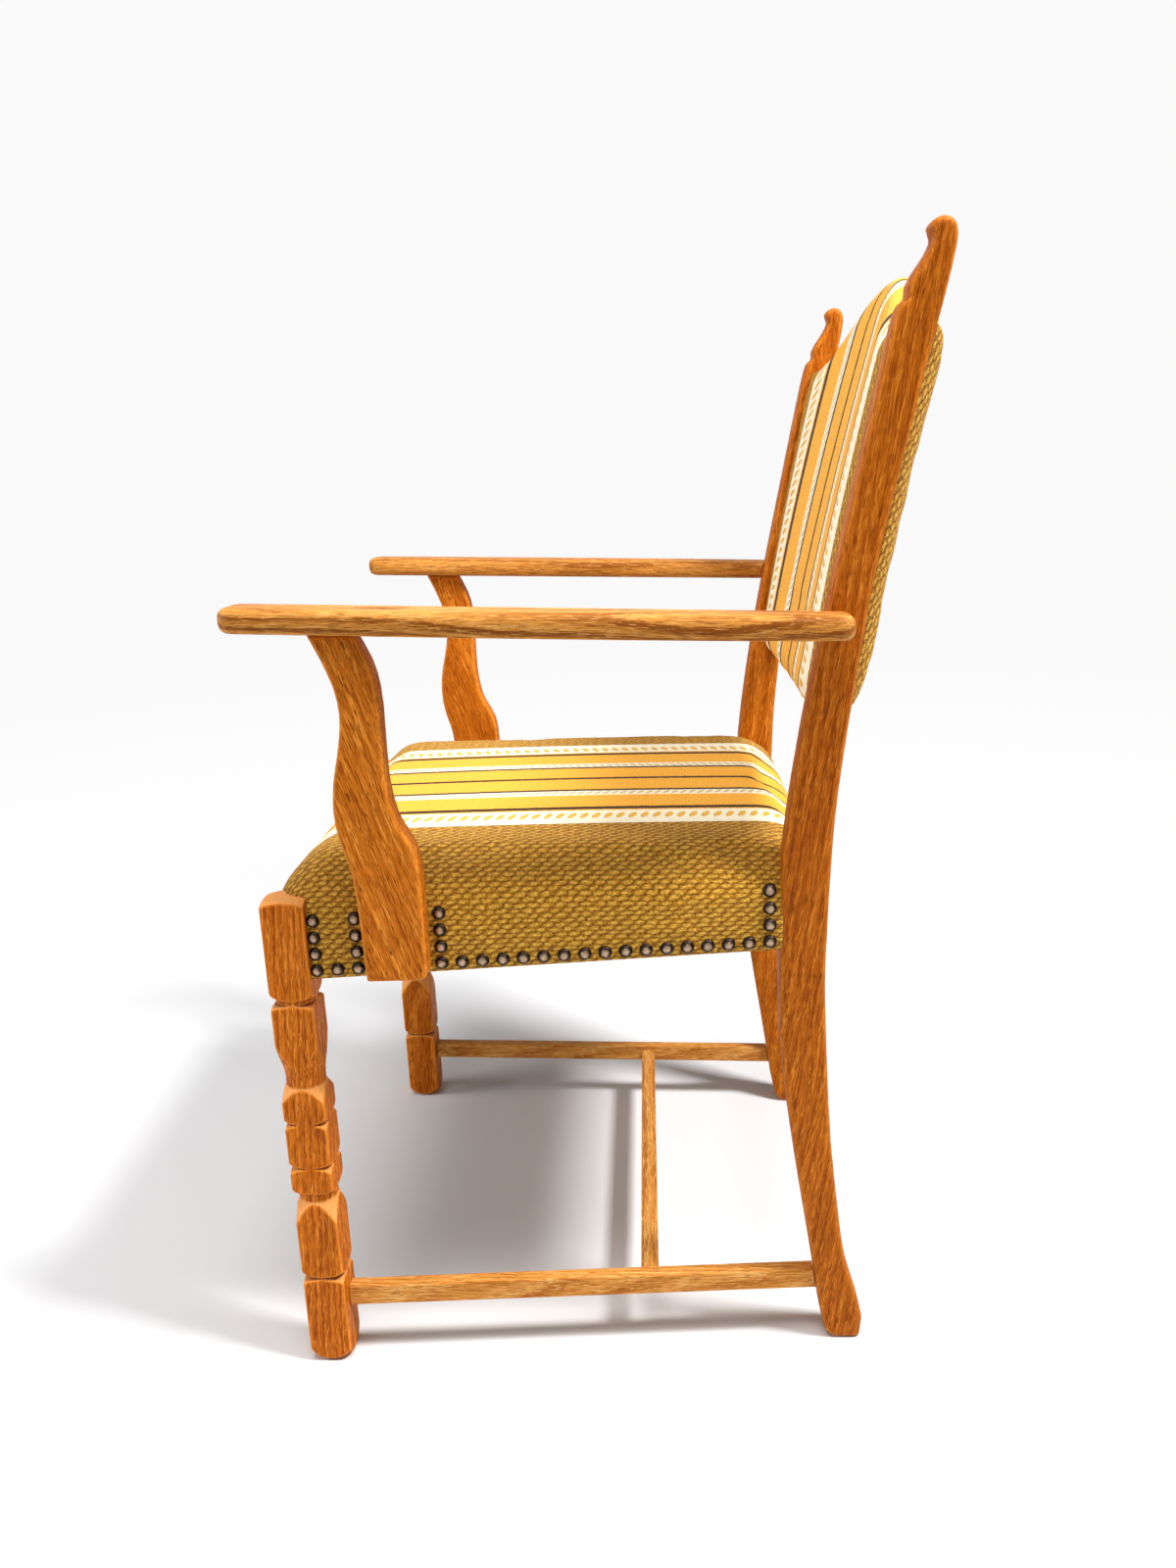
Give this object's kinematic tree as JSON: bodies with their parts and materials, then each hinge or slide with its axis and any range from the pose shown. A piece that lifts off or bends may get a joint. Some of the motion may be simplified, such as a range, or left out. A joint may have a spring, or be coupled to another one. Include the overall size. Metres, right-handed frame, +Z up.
{
  "type": "captains chair",
  "caption": "Captain's armchair in oiled oak: carved front legs, scrolled back posts, flat arms on S-shaped supports, and a nailed, striped stuffed seat and dished back.",
  "frame": {"origin": "on the floor, at the middle of the chair's outline in plan", "axes": "+Z up; -Y is the way the sitter faces; +X is to the sitter's left"},
  "size_m": [0.5966, 0.5914, 0.9429],
  "materials": {
    "oak": "oiled oak, satin, open grain",
    "frame_wood": "raw beech, sawn",
    "dowel_wood": "raw beech, smooth",
    "stripe_fabric": "coarse woven wool with lengthwise stripes",
    "foam": "firm stuffing",
    "wadding": "soft wadding",
    "jute": "jute webbing",
    "hessian": "open hessian",
    "steel": "bright wood screws"
  },
  "bodies": {
    "root": {"front_leg_left": "oak", "front_leg_right": "oak", "back_post_left": "oak", "back_post_right": "oak", "side_stretcher_left": "oak", "side_stretcher_right": "oak", "cross_stretcher": "oak", "seat_rail_front": "frame_wood", "seat_rail_rear": "frame_wood", "seat_rail_left": "frame_wood", "seat_rail_right": "frame_wood", "corner_block_front_left": "frame_wood", "corner_block_front_right": "frame_wood", "corner_block_rear_left": "frame_wood", "corner_block_rear_right": "frame_wood", "corner_screw_front_left": "steel", "corner_screw_front_right": "steel", "corner_screw_rear_left": "steel", "corner_screw_rear_right": "steel", "arm_left": "oak", "arm_right": "oak", "arm_dowel_left": "dowel_wood", "arm_dowel_right": "dowel_wood", "arm_support_left": "oak", "arm_support_right": "oak", "support_dowel_left": "dowel_wood", "support_dowel_right": "dowel_wood", "support_screw_lower_left": "steel", "support_screw_lower_right": "steel", "support_screw_upper_left": "steel", "support_screw_upper_right": "steel", "seat_strap_along_1": "jute", "seat_strap_along_2": "jute", "seat_strap_along_3": "jute", "seat_strap_across_1": "jute", "seat_strap_across_2": "jute", "seat_strap_across_3": "jute", "seat_strap_across_4": "jute", "seat_hessian": "hessian", "seat_pad": "foam", "seat_cover": "stripe_fabric", "back_stile_left": "frame_wood", "back_stile_right": "frame_wood", "back_top_rail": "frame_wood", "back_low_rail": "frame_wood", "back_dowel_lower_left": "dowel_wood", "back_dowel_lower_right": "dowel_wood", "back_dowel_upper_left": "dowel_wood", "back_dowel_upper_right": "dowel_wood", "back_strap_upright_left": "jute", "back_strap_upright_right": "jute", "back_strap_across_1": "jute", "back_strap_across_2": "jute", "back_strap_across_3": "jute", "back_pad_front": "foam", "back_pad_rear": "wadding", "back_cover_front": "stripe_fabric", "back_cover_rear": "stripe_fabric"}
  },
  "joints": []
}
